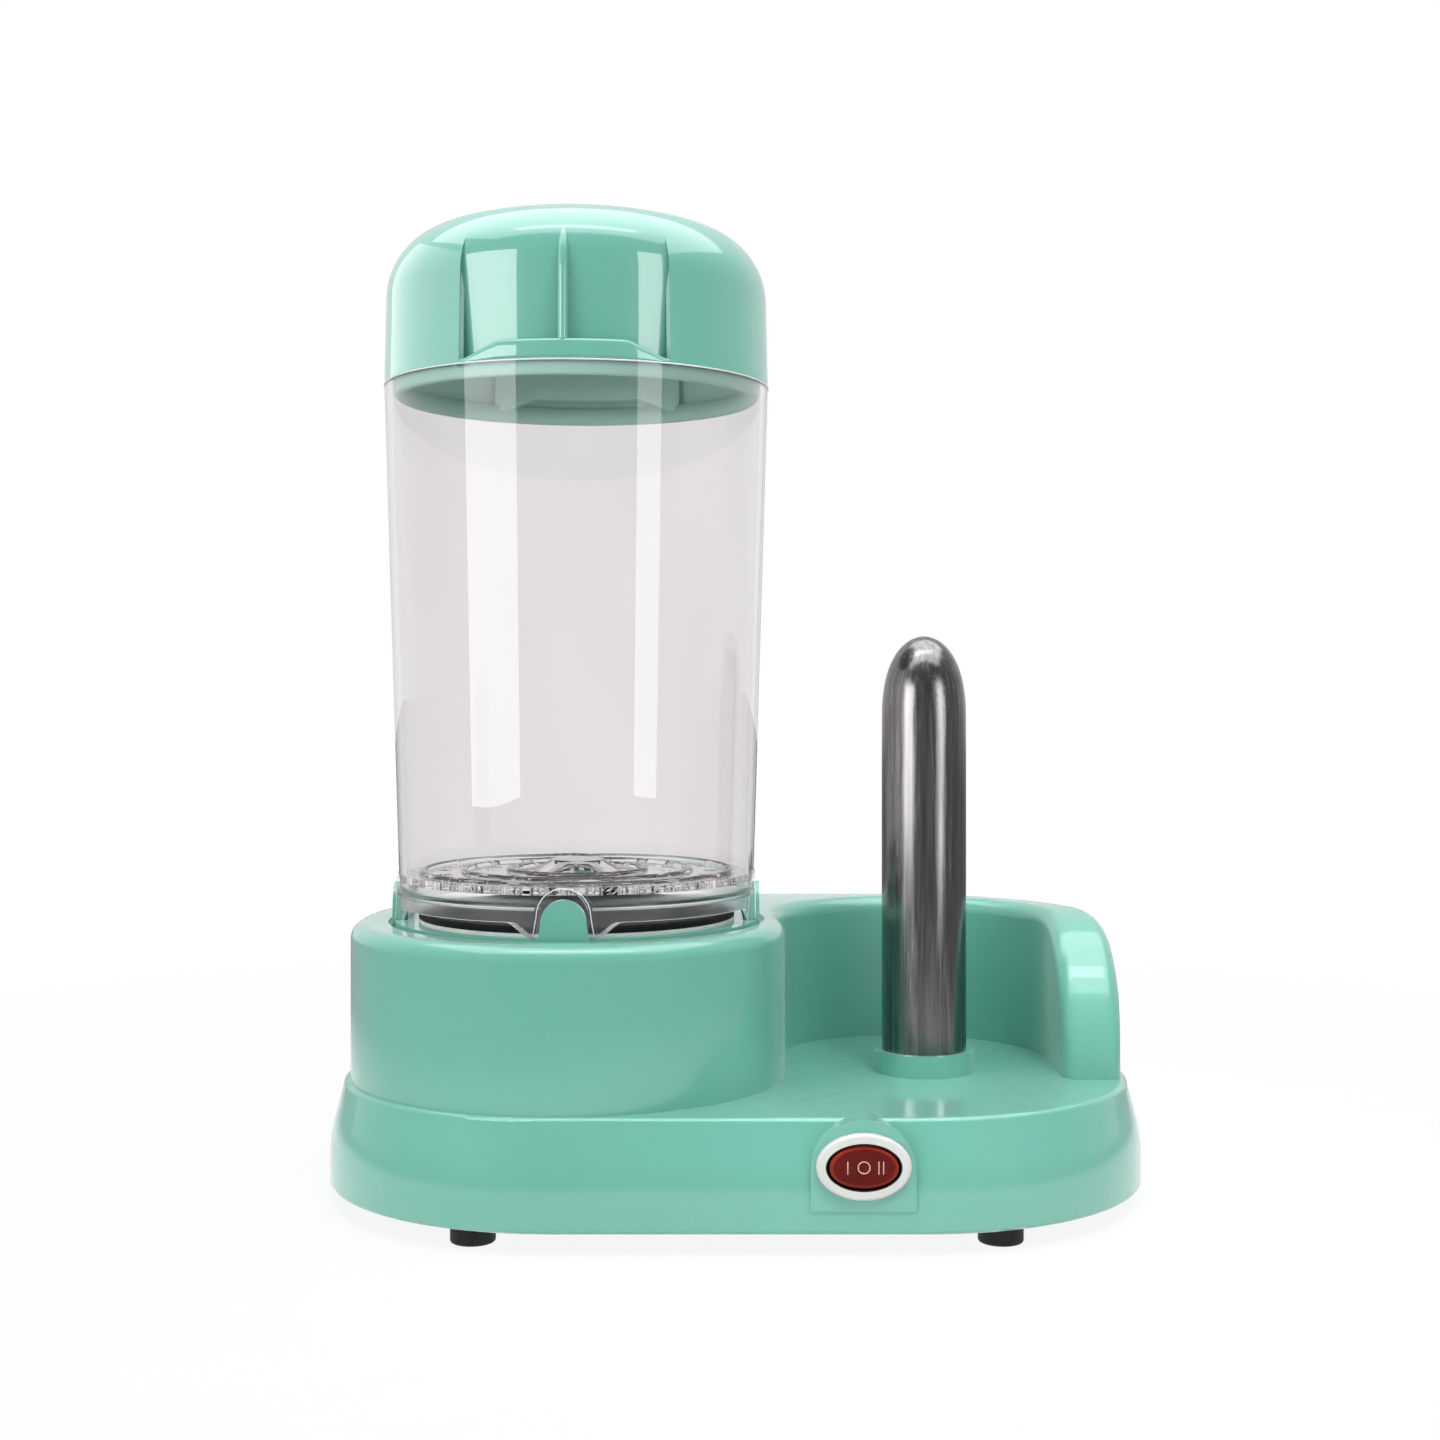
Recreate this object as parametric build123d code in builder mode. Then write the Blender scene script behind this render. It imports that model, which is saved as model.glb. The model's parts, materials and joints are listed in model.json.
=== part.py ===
from build123d import *
from math import atan2, cos, degrees, hypot, radians, sin, sqrt
import os

os.makedirs("parts", exist_ok=True)

# Plan of the base, millimetres, +X right, +Y back, +Z up, feet on z = 0
end_spacing = 99.4        # between the centres of the two rounded ends
end_depth = 8.0           # straight run in each end, front to back
skirt_radius = 70.5       # rounded ends at the belly of the skirt
skirt_lean = 4.5          # how far the skirt leans in between its belly and the deck
ledge = 1.5               # from the deck's edge in to the walls above it
wall = 2.5                # moulded wall of the housing

# Levels
foot_height = 5.5
belly_height = 19.0
deck_height = 35.5
body_height = 81.0

# Roundings of the housing
belly_rounding = 40.0
skirt_bottom_rounding = 1.2
deck_edge_rounding = 1.5
body_rounding = 4.5

# Drum, bun bay and arm
jar_x = -47.3
jar_y = -4.0
drum_radius = 62.0
bay_x = 54.7
bay_y = 12.8
nose_y = 26.5             # where the arm's top starts to roll down towards the front

# Tray, step, plate opening and jar tabs on the drum
tray_radius = 56.0
tray_depth = 1.5
plate_hole_radius = 43.0
step_radius = 54.0
step_height = 2.0
tab_radius = 51.4         # inner face of each tab, from the jar axis
tab_thickness = 3.0
tab_width = 14.7
tab_top_width = 12.6
tab_height = 12.7
tab_angles = (-90, 0, 90, 180)

# Spike
spike_x = 56.6
spike_y = -3.5
spike_radius = 12.6
spike_wall = 1.0
spike_length = 130.0      # above the deck
spike_tip = 24.0          # height of the rounded tip
spike_tip_radius = 4.0
collar_radius = 15.0
collar_height = 6.4
spike_flange_radius = 17.0
spike_flange = 1.5

# Switch
switch_x = 33.3
switch_below_deck = 11.5  # middle of the switch
boss_width = 28.0
boss_proud = 0.6          # past the belly of the skirt
boss_drop = 12.0          # from the switch's middle to the foot of the boss
boss_above_deck = 0.7
bezel_width = 25.2
bezel_height = 17.7
bezel_thickness = 2.0
window_width = 19.6
window_height = 12.1
switch_wall = 1.35
switch_depth = 15.0
switch_floor = 3.0
rocker_proud = 1.0        # ends of the rocker past the bezel
rocker_dip = 1.2          # middle of the rocker below its ends
rocker_depth = 6.0
rocker_end_gap = 0.7
rocker_side_gap = 0.35
pin_radius = 1.2
pin_depth = 3.0           # rocker axis behind the bezel's face
pin_reach = 0.9

# Jar, its heights above the step it stands on
jar_height = 158.1
jar_top_radius = 57.1
jar_foot_radius = 52.4
jar_wall = 2.2
jar_floor_rise = 13.9
jar_floor = 2.2
arch_rise = 4.2
arch_corner = 3.0
foot_half_low = 10.3
foot_half_top = 17.3
bead_rise = 8.7
bead_size = 2.2
bead_proud = 0.9
pocket_wall = 1.4         # clear arch moulded over each tab
pocket_proud = 0.7
pocket_room = 2.4         # from the top of a tab to its arch
floor_ridge = 1.2
floor_ridge_radii = (20.0, 33.5, 46.0)
cone_radius = 13.0        # raised middle of the floor
cone_top_radius = 8.0
cone_height = 3.5
steam_hole_radius = 2.4
steam_ring_radii = (27.0, 40.0)
steam_hole_counts = (12, 18)

# Lid
lid_height = 51.5
lid_draft = 0.9
lid_wall = 2.2
lid_crown_radius = 140.0
lid_shoulder = 21.0
lip_depth = 4.0
lip_thickness = 2.7
recess_radius = 51.2      # back wall of the finger recess at the rim, from the jar axis
recess_lean = 0.09        # how far the back wall comes forward per mm of height
recess_half_width = 29.0
recess_top = 34.0         # above the lid's rim
ledge_height = 5.5
ledge_half_width = 17.7
rim_thickness = 1.2
recess_corner = 6.0
recess_back_rounding = 2.0
fin_thickness = 2.6

# Hot plate and what is under it
seal_thickness = 0.6
plate_flange = 2.0
plate_flange_radius = 47.0
plate_thickness = 3.0
plate_dish_depth = 5.1
dish_corner = 2.0
plate_edge_rounding = 0.7
channel_radius = 28.0     # heating element ring
channel_width = 12.0
channel_depth = 5.0
element_radius = 3.3
element_gap = 20.0        # degrees each side of the opening in the ring
element_leg = 18.0
clamp_thickness = 1.5
clamp_radius = 50.0
clamp_hole_radius = 36.0
clamp_rim_width = 4.0
clamp_screw_radius = 39.0
thermostat_radius = 8.0
thermostat_height = 10.0
thermostat_collar = 1.5
bracket_half = 15.0
bracket_width = 10.0
bracket_end = 4.0
bracket_thickness = 1.0
fuse_radius = 2.0
fuse_length = 14.0
fuse_y = 14.5

# Bottom cover, feet, posts and screws
cover_thickness = 2.5
foot_radius = 6.2
foot_x = 71.6
foot_y = 60.0
stem_radius = 2.5
stem_cap = 1.5
post_x = 96.0
post_y = 30.0
post_radius = 4.0
screw_radius = 1.5
screw_head_radius = 2.9
screw_head = 1.8
screw_slot = 0.8
cover_screw_length = 14.0
vent_length = 26.0
vent_width = 3.0
vent_pitch = 8.0
vent_count = 5

# Spike holder
retainer_radius = 24.0
retainer_thickness = 2.0
retainer_hole_radius = 8.0
retainer_screw_radius = 20.5
heater_radius = 6.0
heater_length = 105.0
heater_drop = 2.5         # below the retainer
heater_pin_radius = 1.0
heater_pin_length = 3.0
heater_pin_spacing = 6.0
insulator_height = 12.0

# Cord inlet, terminal block and leads
gland_x = -20.0
gland_z = 18.0
gland_pad_radius = 9.0
gland_flange_radius = 7.5
gland_neck_radius = 5.0
gland_bore_radius = 3.5
gland_nut = 3.0
gland_rounding = 1.0
block_length = 30.0
block_width = 12.0
block_height = 12.0
block_pitch = 8.0
block_gap = 10.0          # from the block to the gland
blade_width = 4.8
blade_thickness = 0.8
blade_length = 10.0
blade_pitch = 6.5
lead_radius = 1.3
lead_bend = 5.0
lead_start = 12.0         # straight run out of a terminal
supply_turn_y = -20.0     # where the supply lead turns towards the switch
return_turn_y = 22.0      # where the spike's return lead turns towards the block
thermostat_pole = 4.0     # from the thermostat's middle to each of its poles

# Clearances
fit = 0.05                # pieces that are fixed to each other
slide = 0.4               # pieces that lift off or swing
running = 0.05            # pins that turn in their holes

# How a cylinder or box stands on its place
upward = (Align.CENTER, Align.CENTER, Align.MIN)
downward = (Align.CENTER, Align.CENTER, Align.MAX)

# Worked out from the sizes above
skirt_bottom = foot_height
half_depth = skirt_radius + end_depth / 2
body_radius = skirt_radius - skirt_lean - ledge
lean_angle = degrees(atan2(skirt_lean, deck_height - belly_height))
drum_y = drum_radius - body_radius - end_depth / 2
bay_angle = degrees(atan2(bay_y - drum_y, bay_x - jar_x))
bay_radius = hypot(bay_x - jar_x, bay_y - drum_y) - drum_radius
arm_x = bay_x + bay_radius
tray_z = body_height - tray_depth
step_z = tray_z + step_height
tray_under = tray_z - wall
tab_top = tray_z + tab_height
jar_foot = step_z
jar_top = jar_foot + jar_height
jar_floor_height = jar_foot + jar_floor_rise
arch_top = jar_foot + arch_rise
bead_height = jar_foot + bead_rise
deck_under = deck_height - wall
switch_z = deck_height - switch_below_deck
boss_bottom = switch_z - boss_drop
boss_top = deck_height + boss_above_deck
cover_top = skirt_bottom + cover_thickness
boss_y = -half_depth - boss_proud
bezel_y = boss_y - bezel_thickness
rear_y = half_depth + boss_proud
gland_flange = bezel_thickness + rocker_proud
reach = 2 * end_spacing
plate_top = step_z + seal_thickness + plate_flange
dish_z = plate_top - plate_dish_depth
plate_under = dish_z - plate_thickness
dish_radius = plate_hole_radius - plate_thickness
channel_z = plate_under - channel_depth
collar_z = plate_under - thermostat_collar
retainer_z = deck_under - spike_flange - retainer_thickness
heater_z = retainer_z - heater_drop
jar_axis = Axis((jar_x, jar_y, 0), (0, 0, 1))
spike_axis = Axis((spike_x, spike_y, 0), (0, 0, 1))
spike_section = Plane(origin=(spike_x, spike_y, 0), x_dir=(1, 0, 0), z_dir=(0, -1, 0))
post_places = [(x, y) for x in (-post_x, post_x) for y in (-post_y, post_y)]


def front_plane(y):
    # upright plane facing the front, with +X to the right and +Z up
    return Plane(origin=(0, y, 0), x_dir=(1, 0, 0), z_dir=(0, -1, 0))


def radial_plane(angle, radius):
    # upright plane facing away from the jar axis
    across = radians(angle)
    start = (jar_x + radius * cos(across), jar_y + radius * sin(across), 0)
    return Plane(origin=start, x_dir=(-sin(across), cos(across), 0), z_dir=(cos(across), sin(across), 0))


def radial_section(angle):
    # upright plane through the jar axis, with its x away from the axis
    across = radians(angle)
    outward = (cos(across), sin(across), 0)
    return Plane(origin=(jar_x, jar_y, 0), x_dir=outward, z_dir=(sin(across), -cos(across), 0))


def plan_outline(radius):
    RectangleRounded(end_spacing + 2 * radius, end_depth + 2 * radius, radius)


def skirt_block(inset, bottom, top):
    with BuildPart() as block:
        with BuildSketch(Plane.XY.offset(bottom)):
            plan_outline(skirt_radius - inset)
        extrude(amount=belly_height - bottom)
        with BuildSketch(Plane.XY.offset(belly_height)):
            plan_outline(skirt_radius - inset)
        extrude(amount=top - belly_height, taper=lean_angle)
        belly = block.edges().filter_by_position(Axis.Z, belly_height - fit, belly_height + fit)
        fillet(belly, belly_rounding - inset)
    return block.part


def bay_outline(inset):
    # the bun bay: round the drum, along an S-curve into the bay, and out beside the arm
    with BuildSketch() as opening:
        with BuildLine():
            drum = CenterArc((jar_x, drum_y), drum_radius - inset, -90, 90 + bay_angle)
            bay = CenterArc((bay_x, bay_y), bay_radius + inset, 0, 180 + bay_angle)
            Polyline(bay @ 0, (arm_x + inset, -reach), (jar_x, -reach), drum @ 0)
        make_face()
    return opening.sketch


def body_envelope(inset, bottom):
    # level top, and the arm's top rolling down to the deck at the front
    top = body_height - inset
    with BuildPart() as envelope:
        with BuildSketch(Plane.XY.offset(bottom)):
            with Locations(((bay_x - reach) / 2, 0)):
                Rectangle(bay_x + reach, 2 * reach)
        extrude(amount=top - bottom)
        with BuildSketch(Plane.YZ.offset(bay_x)):
            with BuildLine():
                nose = CenterArc((nose_y, deck_height), top - deck_height, 90, 90)
                Polyline(nose @ 1, ((nose @ 1).X, bottom), (reach, bottom), (reach, top), nose @ 0)
            make_face()
        extrude(amount=reach)
    return envelope.part


def body_block(inset, bottom):
    envelope = body_envelope(inset, bottom)
    bay = bay_outline(inset)
    with BuildPart() as block:
        with BuildSketch(Plane.XY.offset(bottom)):
            plan_outline(body_radius - inset)
            add(bay, mode=Mode.SUBTRACT)
        extrude(amount=body_height - bottom + wall)
        add(envelope, mode=Mode.INTERSECT)
    return block.part


def soft_body():
    # the outer body with its top edges rounded; the arm's top runs smoothly into its nose
    hard_body = body_block(0, deck_under)
    level_edges = hard_body.faces().sort_by(Axis.Z)[-1].edges()
    nose_start = (arm_x, nose_y, body_height)
    smooth_edge = level_edges.filter_by(Axis.X).sort_by_distance(nose_start)[0]
    half_drop = (body_height - deck_height) / 2
    curved_edges = hard_body.edges().filter_by(GeomType.LINE, reverse=True)
    nose_edges = curved_edges.filter_by(lambda edge: edge.bounding_box().size.Z > half_drop)
    level_edges.remove(smooth_edge)
    return fillet(level_edges + nose_edges, body_rounding)


def screw(length):
    # pan head below z = 0 with a driver slot, shank up from z = 0
    with BuildPart() as fastener:
        Cylinder(screw_radius, length, align=upward)
        Cylinder(screw_head_radius, screw_head, align=downward)
        with Locations((0, 0, -screw_head)):
            Box(2 * screw_head_radius, screw_slot, screw_head, mode=Mode.SUBTRACT)
    return fastener.part


def screw_group(length, seat, places):
    fastener = screw(length)
    with BuildPart() as group:
        with Locations([(x, y, seat) for x, y in places]):
            add(fastener)
    return group.part


def ring_places(centre_x, centre_y, radius, count, start):
    turns = [radians(start + 360 * i / count) for i in range(count)]
    return [(centre_x + radius * cos(t), centre_y + radius * sin(t)) for t in turns]


def tongue(width, bottom, top, top_width):
    # upright tab outline with a round top
    spring = top - top_width / 2
    with BuildSketch() as outline:
        with BuildLine():
            Polyline(
                (-top_width / 2, spring),
                (-width / 2, bottom),
                (width / 2, bottom),
                (top_width / 2, spring),
            )
            CenterArc((0, spring), top_width / 2, 0, 180)
        make_face()
    return outline.sketch


def lead(points):
    with BuildPart() as wire:
        with BuildLine() as route:
            FilletPolyline(*points, radius=lead_bend)
        with BuildSketch(Plane(origin=route.line @ 0, z_dir=route.line % 0)):
            Circle(lead_radius)
        sweep()
    return wire.part


def finish(part, name):
    part.label = name
    export_step(part, f"parts/{name}.step")


jar_section = radial_section(0)
clamp_places = ring_places(jar_x, jar_y, clamp_screw_radius, 3, 90)
retainer_places = ring_places(spike_x, spike_y, retainer_screw_radius, 3, 90)
bracket_places = [(jar_x - bracket_half, jar_y), (jar_x + bracket_half, jar_y)]
block_y = half_depth - wall - gland_nut - block_gap - block_width / 2
pole_places = [(gland_x + i * block_pitch, block_y) for i in (-1, 0, 1)]

# Upper housing
outer_skirt = skirt_block(0, skirt_bottom, deck_height)
inner_skirt = skirt_block(wall, skirt_bottom - wall, deck_under)
outer_body = soft_body()
inner_body = body_block(wall, deck_under - wall)
boss_outline = tongue(boss_width, boss_bottom, boss_top, boss_width)
tab_outline = tongue(tab_width, tray_z - wall / 2, tab_top, tab_top_width)
with BuildPart() as upper_housing:
    add(outer_skirt)
    fillet(upper_housing.edges().group_by(Axis.Z)[0], skirt_bottom_rounding)
    fillet(upper_housing.edges().group_by(Axis.Z)[-1], deck_edge_rounding)
    add(outer_body)
    with BuildSketch(front_plane(boss_y)):
        with Locations((switch_x, 0)):
            add(boss_outline)
    extrude(amount=-(skirt_lean + 2 * wall))
    with BuildSketch(front_plane(rear_y)):
        with Locations((gland_x, gland_z)):
            Circle(gland_pad_radius)
    extrude(amount=skirt_lean + wall)
    add(inner_skirt, mode=Mode.SUBTRACT)
    add(inner_body, mode=Mode.SUBTRACT)
    # tray, step ring and plate opening
    with Locations((jar_x, jar_y, tray_under)):
        Cylinder(tray_radius + wall, tray_depth + wall, align=upward)
    with Locations((jar_x, jar_y, tray_z)):
        Cylinder(tray_radius, 2 * tray_depth, align=upward, mode=Mode.SUBTRACT)
        Cylinder(step_radius, step_height, align=upward)
        Cylinder(plate_hole_radius, 2 * (wall + step_height), mode=Mode.SUBTRACT)
    for angle in tab_angles:
        with BuildSketch(radial_plane(angle, tab_radius)):
            add(tab_outline)
        extrude(amount=tab_thickness)
    # spike collar and its opening
    with Locations((spike_x, spike_y, deck_height)):
        Cylinder(collar_radius, collar_height, align=upward)
        Cylinder(spike_radius + fit, 2 * (collar_height + wall), mode=Mode.SUBTRACT)
    with Locations([(x, y, deck_under) for x, y in retainer_places]):
        Cylinder(screw_head_radius, spike_flange, align=downward)
        Cylinder(screw_radius + fit, wall + spike_flange, mode=Mode.SUBTRACT)
    # screw posts for the bottom cover
    for x, y in post_places:
        post_top = tray_under if x < 0 else deck_under
        with Locations((x, y, cover_top)):
            Cylinder(post_radius, post_top - cover_top, align=upward)
            Cylinder(screw_radius + fit, 2 * cover_screw_length, mode=Mode.SUBTRACT)
    # openings for the switch and the cord gland
    with BuildSketch(front_plane(boss_y)):
        with Locations((switch_x, switch_z)):
            Ellipse(window_width / 2 + switch_wall + fit, window_height / 2 + switch_wall + fit)
    extrude(amount=-(skirt_lean + 3 * wall), mode=Mode.SUBTRACT)
    with BuildSketch(front_plane(rear_y)):
        with Locations((gland_x, gland_z)):
            Circle(gland_neck_radius + fit)
    extrude(amount=skirt_lean + 3 * wall, mode=Mode.SUBTRACT)
finish(upper_housing.part, "upper_housing")

# Bottom cover with its vents
foot_places = {
    "foot_front_left": (-foot_x, -foot_y),
    "foot_front_right": (foot_x, -foot_y),
    "foot_back_left": (-foot_x, foot_y),
    "foot_back_right": (foot_x, foot_y),
}
with BuildPart() as bottom_cover:
    with BuildSketch(Plane.XY.offset(skirt_bottom)):
        plan_outline(skirt_radius - wall - 2 * fit)
        with Locations(post_places):
            Circle(screw_radius + fit, mode=Mode.SUBTRACT)
        with Locations(list(foot_places.values())):
            Circle(stem_radius + fit, mode=Mode.SUBTRACT)
        with GridLocations(2 * foot_x - 2 * vent_length, vent_pitch, 2, vent_count):
            SlotOverall(vent_length, vent_width, mode=Mode.SUBTRACT)
    extrude(amount=cover_thickness)
finish(bottom_cover.part, "bottom_cover")

# Rubber feet, each with a stem that snaps through the cover
for name, place in foot_places.items():
    with BuildPart() as foot:
        with Locations((*place, 0)):
            Cylinder(foot_radius, foot_height, align=upward)
        with Locations((*place, foot_height)):
            Cylinder(stem_radius, cover_thickness, align=upward)
        with Locations((*place, cover_top)):
            Cylinder(stem_radius + stem_cap / 2, stem_cap, align=upward)
        fillet(foot.edges().group_by(Axis.Z)[0], stem_cap / 2)
    finish(foot.part, name)

finish(screw_group(cover_screw_length, skirt_bottom, post_places), "cover_screws")

# Hot plate with its water dish, element channel and bracket bosses
with BuildPart() as hot_plate:
    with BuildSketch(jar_section):
        with BuildLine():
            Polyline(
                (0, dish_z),
                (dish_radius - dish_corner, dish_z),
                (dish_radius, dish_z + dish_corner),
                (dish_radius, plate_top),
                (plate_flange_radius, plate_top),
                (plate_flange_radius, plate_top - plate_flange),
                (plate_hole_radius - slide, plate_top - plate_flange),
                (plate_hole_radius - slide, plate_under),
                (0, plate_under),
                close=True,
            )
        make_face()
        with Locations((channel_radius, (channel_z + plate_under) / 2)):
            Rectangle(channel_width, channel_depth)
        with Locations((channel_radius, channel_z)):
            Circle(element_radius + fit, mode=Mode.SUBTRACT)
    revolve(axis=jar_axis)
    fillet(hot_plate.edges().group_by(Axis.Z)[-1].sort_by(SortBy.LENGTH)[-1], plate_edge_rounding)
    with Locations([(x, y, plate_under) for x, y in bracket_places]):
        Cylinder(screw_head_radius, thermostat_collar, align=downward)
        Cylinder(screw_radius + fit, plate_thickness, mode=Mode.SUBTRACT)
    with Locations([(x, y, plate_under) for x, y in clamp_places]):
        Cylinder(screw_radius + fit, plate_thickness, mode=Mode.SUBTRACT)
finish(hot_plate.part, "hot_plate")

# Seal under the flange of the plate
with BuildPart() as plate_seal:
    with BuildSketch(Plane.XY.offset(step_z)):
        with Locations((jar_x, jar_y)):
            Circle(plate_flange_radius - fit)
            Circle(plate_hole_radius, mode=Mode.SUBTRACT)
    extrude(amount=seal_thickness)
finish(plate_seal.part, "plate_seal")

# Heating element, an open ring with two legs
leg_places = [
    (jar_x + channel_radius * cos(radians(turn)), jar_y + channel_radius * sin(radians(turn)))
    for turn in (element_gap, -element_gap)
]
with BuildPart() as heating_element:
    with BuildSketch(radial_section(element_gap)):
        with Locations((channel_radius, channel_z)):
            Circle(element_radius)
    revolve(axis=jar_axis, revolution_arc=360 - 2 * element_gap)
    with Locations([(x, y, channel_z) for x, y in leg_places]):
        Sphere(element_radius)
        Cylinder(element_radius, element_leg, align=downward)
finish(heating_element.part, "heating_element")

# Clamp ring that draws the plate down onto its seal
clamp_z = plate_under - clamp_thickness
with BuildPart() as clamp_ring:
    with BuildSketch(Plane.XY.offset(clamp_z)):
        with Locations((jar_x, jar_y)):
            Circle(clamp_radius)
            Circle(clamp_hole_radius, mode=Mode.SUBTRACT)
        with Locations(clamp_places):
            Circle(screw_radius + fit, mode=Mode.SUBTRACT)
    extrude(amount=clamp_thickness)
    with BuildSketch(Plane.XY.offset(clamp_z)):
        with Locations((jar_x, jar_y)):
            Circle(clamp_radius)
            Circle(clamp_radius - clamp_rim_width, mode=Mode.SUBTRACT)
    extrude(amount=tray_under - clamp_z)
finish(clamp_ring.part, "clamp_ring")
finish(screw_group(clamp_thickness + plate_thickness / 2 - fit, clamp_z, clamp_places), "clamp_screws")

# Thermostat on the underside of the plate
with BuildPart() as thermostat:
    with Locations((jar_x, jar_y, plate_under)):
        Cylinder(thermostat_radius, thermostat_height, align=downward)
        Cylinder(thermostat_radius + thermostat_collar, thermostat_collar,
                 align=downward)
finish(thermostat.part, "thermostat")

# Bracket that holds the thermostat up
bracket_z = collar_z - bracket_thickness
with BuildPart() as thermostat_bracket:
    with BuildSketch(Plane.XY.offset(bracket_z)):
        with Locations((jar_x, jar_y)):
            SlotOverall(2 * (bracket_half + bracket_end), bracket_width)
            Circle(thermostat_radius + bracket_end)
            Circle(thermostat_radius + fit, mode=Mode.SUBTRACT)
        with Locations(bracket_places):
            Circle(screw_radius + fit, mode=Mode.SUBTRACT)
    extrude(amount=bracket_thickness)
finish(thermostat_bracket.part, "thermostat_bracket")
bracket_screw_length = bracket_thickness + thermostat_collar + plate_thickness / 2 - fit
finish(screw_group(bracket_screw_length, bracket_z, bracket_places), "bracket_screws")

# Thermal fuse lying against the plate
with BuildPart() as thermal_fuse:
    with Locations((jar_x, jar_y + fuse_y, plate_under - fuse_radius)):
        Cylinder(fuse_radius, fuse_length, rotation=(0, 90, 0))
finish(thermal_fuse.part, "thermal_fuse")

# Spike, a closed steel tube with a tapered tip and a flange under the deck
spike_top = deck_height + spike_length
tip_z = spike_top - spike_tip
flange_z = deck_under - spike_flange
bore_radius = spike_radius - spike_wall
with BuildPart() as spike_tube:
    with BuildSketch(spike_section):
        with BuildLine():
            Polyline(
                (0, tip_z - spike_wall),
                (bore_radius, tip_z - spike_wall),
                (bore_radius, flange_z),
                (spike_flange_radius, flange_z),
                (spike_flange_radius, deck_under),
                (spike_radius, deck_under),
                (spike_radius, tip_z),
            )
            Bezier(
                (spike_radius, tip_z),
                (spike_radius, spike_top - spike_tip_radius),
                (spike_tip_radius, spike_top),
                (0, spike_top),
            )
            Line((0, spike_top), (0, tip_z - spike_wall))
        make_face()
    revolve(axis=spike_axis)
finish(spike_tube.part, "spike_tube")

# Ceramic bush that centres the heater in the spike
with BuildPart() as spike_insulator:
    with BuildSketch(Plane.XY.offset(deck_under - spike_flange)):
        with Locations((spike_x, spike_y)):
            Circle(bore_radius - fit)
            Circle(heater_radius + fit, mode=Mode.SUBTRACT)
    extrude(amount=insulator_height)
finish(spike_insulator.part, "spike_insulator")

# Cartridge heater with two connection pins
heater_pin_places = [(spike_x - heater_pin_spacing / 2, spike_y), (spike_x + heater_pin_spacing / 2, spike_y)]
with BuildPart() as spike_heater:
    with Locations((spike_x, spike_y, heater_z)):
        Cylinder(heater_radius, heater_length, align=upward)
    with Locations([(x, y, heater_z) for x, y in heater_pin_places]):
        Cylinder(heater_pin_radius, heater_pin_length, align=downward)
finish(spike_heater.part, "spike_heater")

# Retainer that clamps the spike's flange against the deck
with BuildPart() as spike_retainer:
    with BuildSketch(Plane.XY.offset(retainer_z)):
        with Locations((spike_x, spike_y)):
            Circle(retainer_radius)
            Circle(retainer_hole_radius, mode=Mode.SUBTRACT)
        with Locations(retainer_places):
            Circle(screw_radius + fit, mode=Mode.SUBTRACT)
    extrude(amount=retainer_thickness)
finish(spike_retainer.part, "spike_retainer")
finish(screw_group(retainer_thickness + spike_flange + wall / 2 - fit, retainer_z, retainer_places),
       "retainer_screws")

# Switch case with its oval bezel and the pocket for the rocker
back_y = boss_y + switch_depth
blade_places = [(switch_x + i * blade_pitch, switch_z) for i in (-1, 0, 1)]
pin_y = bezel_y + pin_depth
with BuildPart() as switch_body:
    with BuildSketch(front_plane(boss_y)):
        with Locations((switch_x, switch_z)):
            Ellipse(bezel_width / 2, bezel_height / 2)
    extrude(amount=bezel_thickness)
    fillet(switch_body.edges().sort_by(Axis.Y)[0], bezel_thickness / 2)
    with BuildSketch(front_plane(boss_y)):
        with Locations((switch_x, switch_z)):
            Ellipse(window_width / 2 + switch_wall, window_height / 2 + switch_wall)
    extrude(amount=-switch_depth)
    with BuildSketch(front_plane(bezel_y)):
        with Locations((switch_x, switch_z)):
            Ellipse(window_width / 2, window_height / 2)
    extrude(amount=-(bezel_thickness + switch_depth - switch_floor), mode=Mode.SUBTRACT)
    with BuildSketch(front_plane(back_y)):
        with Locations(blade_places):
            Rectangle(blade_thickness + 2 * fit, blade_width + 2 * fit)
    extrude(amount=switch_floor, mode=Mode.SUBTRACT)
    with Locations((switch_x, pin_y, switch_z)):
        Cylinder(pin_radius + running, window_height + 2 * (pin_reach + fit), mode=Mode.SUBTRACT)
finish(switch_body.part, "switch_body")

# Contact blades through the floor of the switch
with BuildPart() as switch_terminals:
    with BuildSketch(front_plane(back_y + blade_length)):
        with Locations(blade_places):
            Rectangle(blade_thickness, blade_width)
    extrude(amount=blade_length + switch_floor)
finish(switch_terminals.part, "switch_terminals")

# Rocker with a shallow V face, turning on its upright pins
rocker_half = window_width / 2 - rocker_end_gap
face_y = bezel_y - rocker_proud
with BuildPart() as switch_rocker:
    with BuildSketch(front_plane(face_y)):
        with Locations((switch_x, switch_z)):
            Ellipse(rocker_half, window_height / 2 - rocker_side_gap)
    extrude(amount=-(rocker_proud + rocker_depth))
    with BuildSketch(Plane.XY.offset(switch_z)):
        with BuildLine():
            Polyline((switch_x - rocker_half, face_y), (switch_x, face_y + rocker_dip),
                     (switch_x + rocker_half, face_y), close=True)
        make_face()
    extrude(amount=window_height, both=True, mode=Mode.SUBTRACT)
    with Locations((switch_x, pin_y, switch_z)):
        Cylinder(pin_radius, window_height + 2 * pin_reach)
finish(switch_rocker.part, "switch_rocker")

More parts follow.
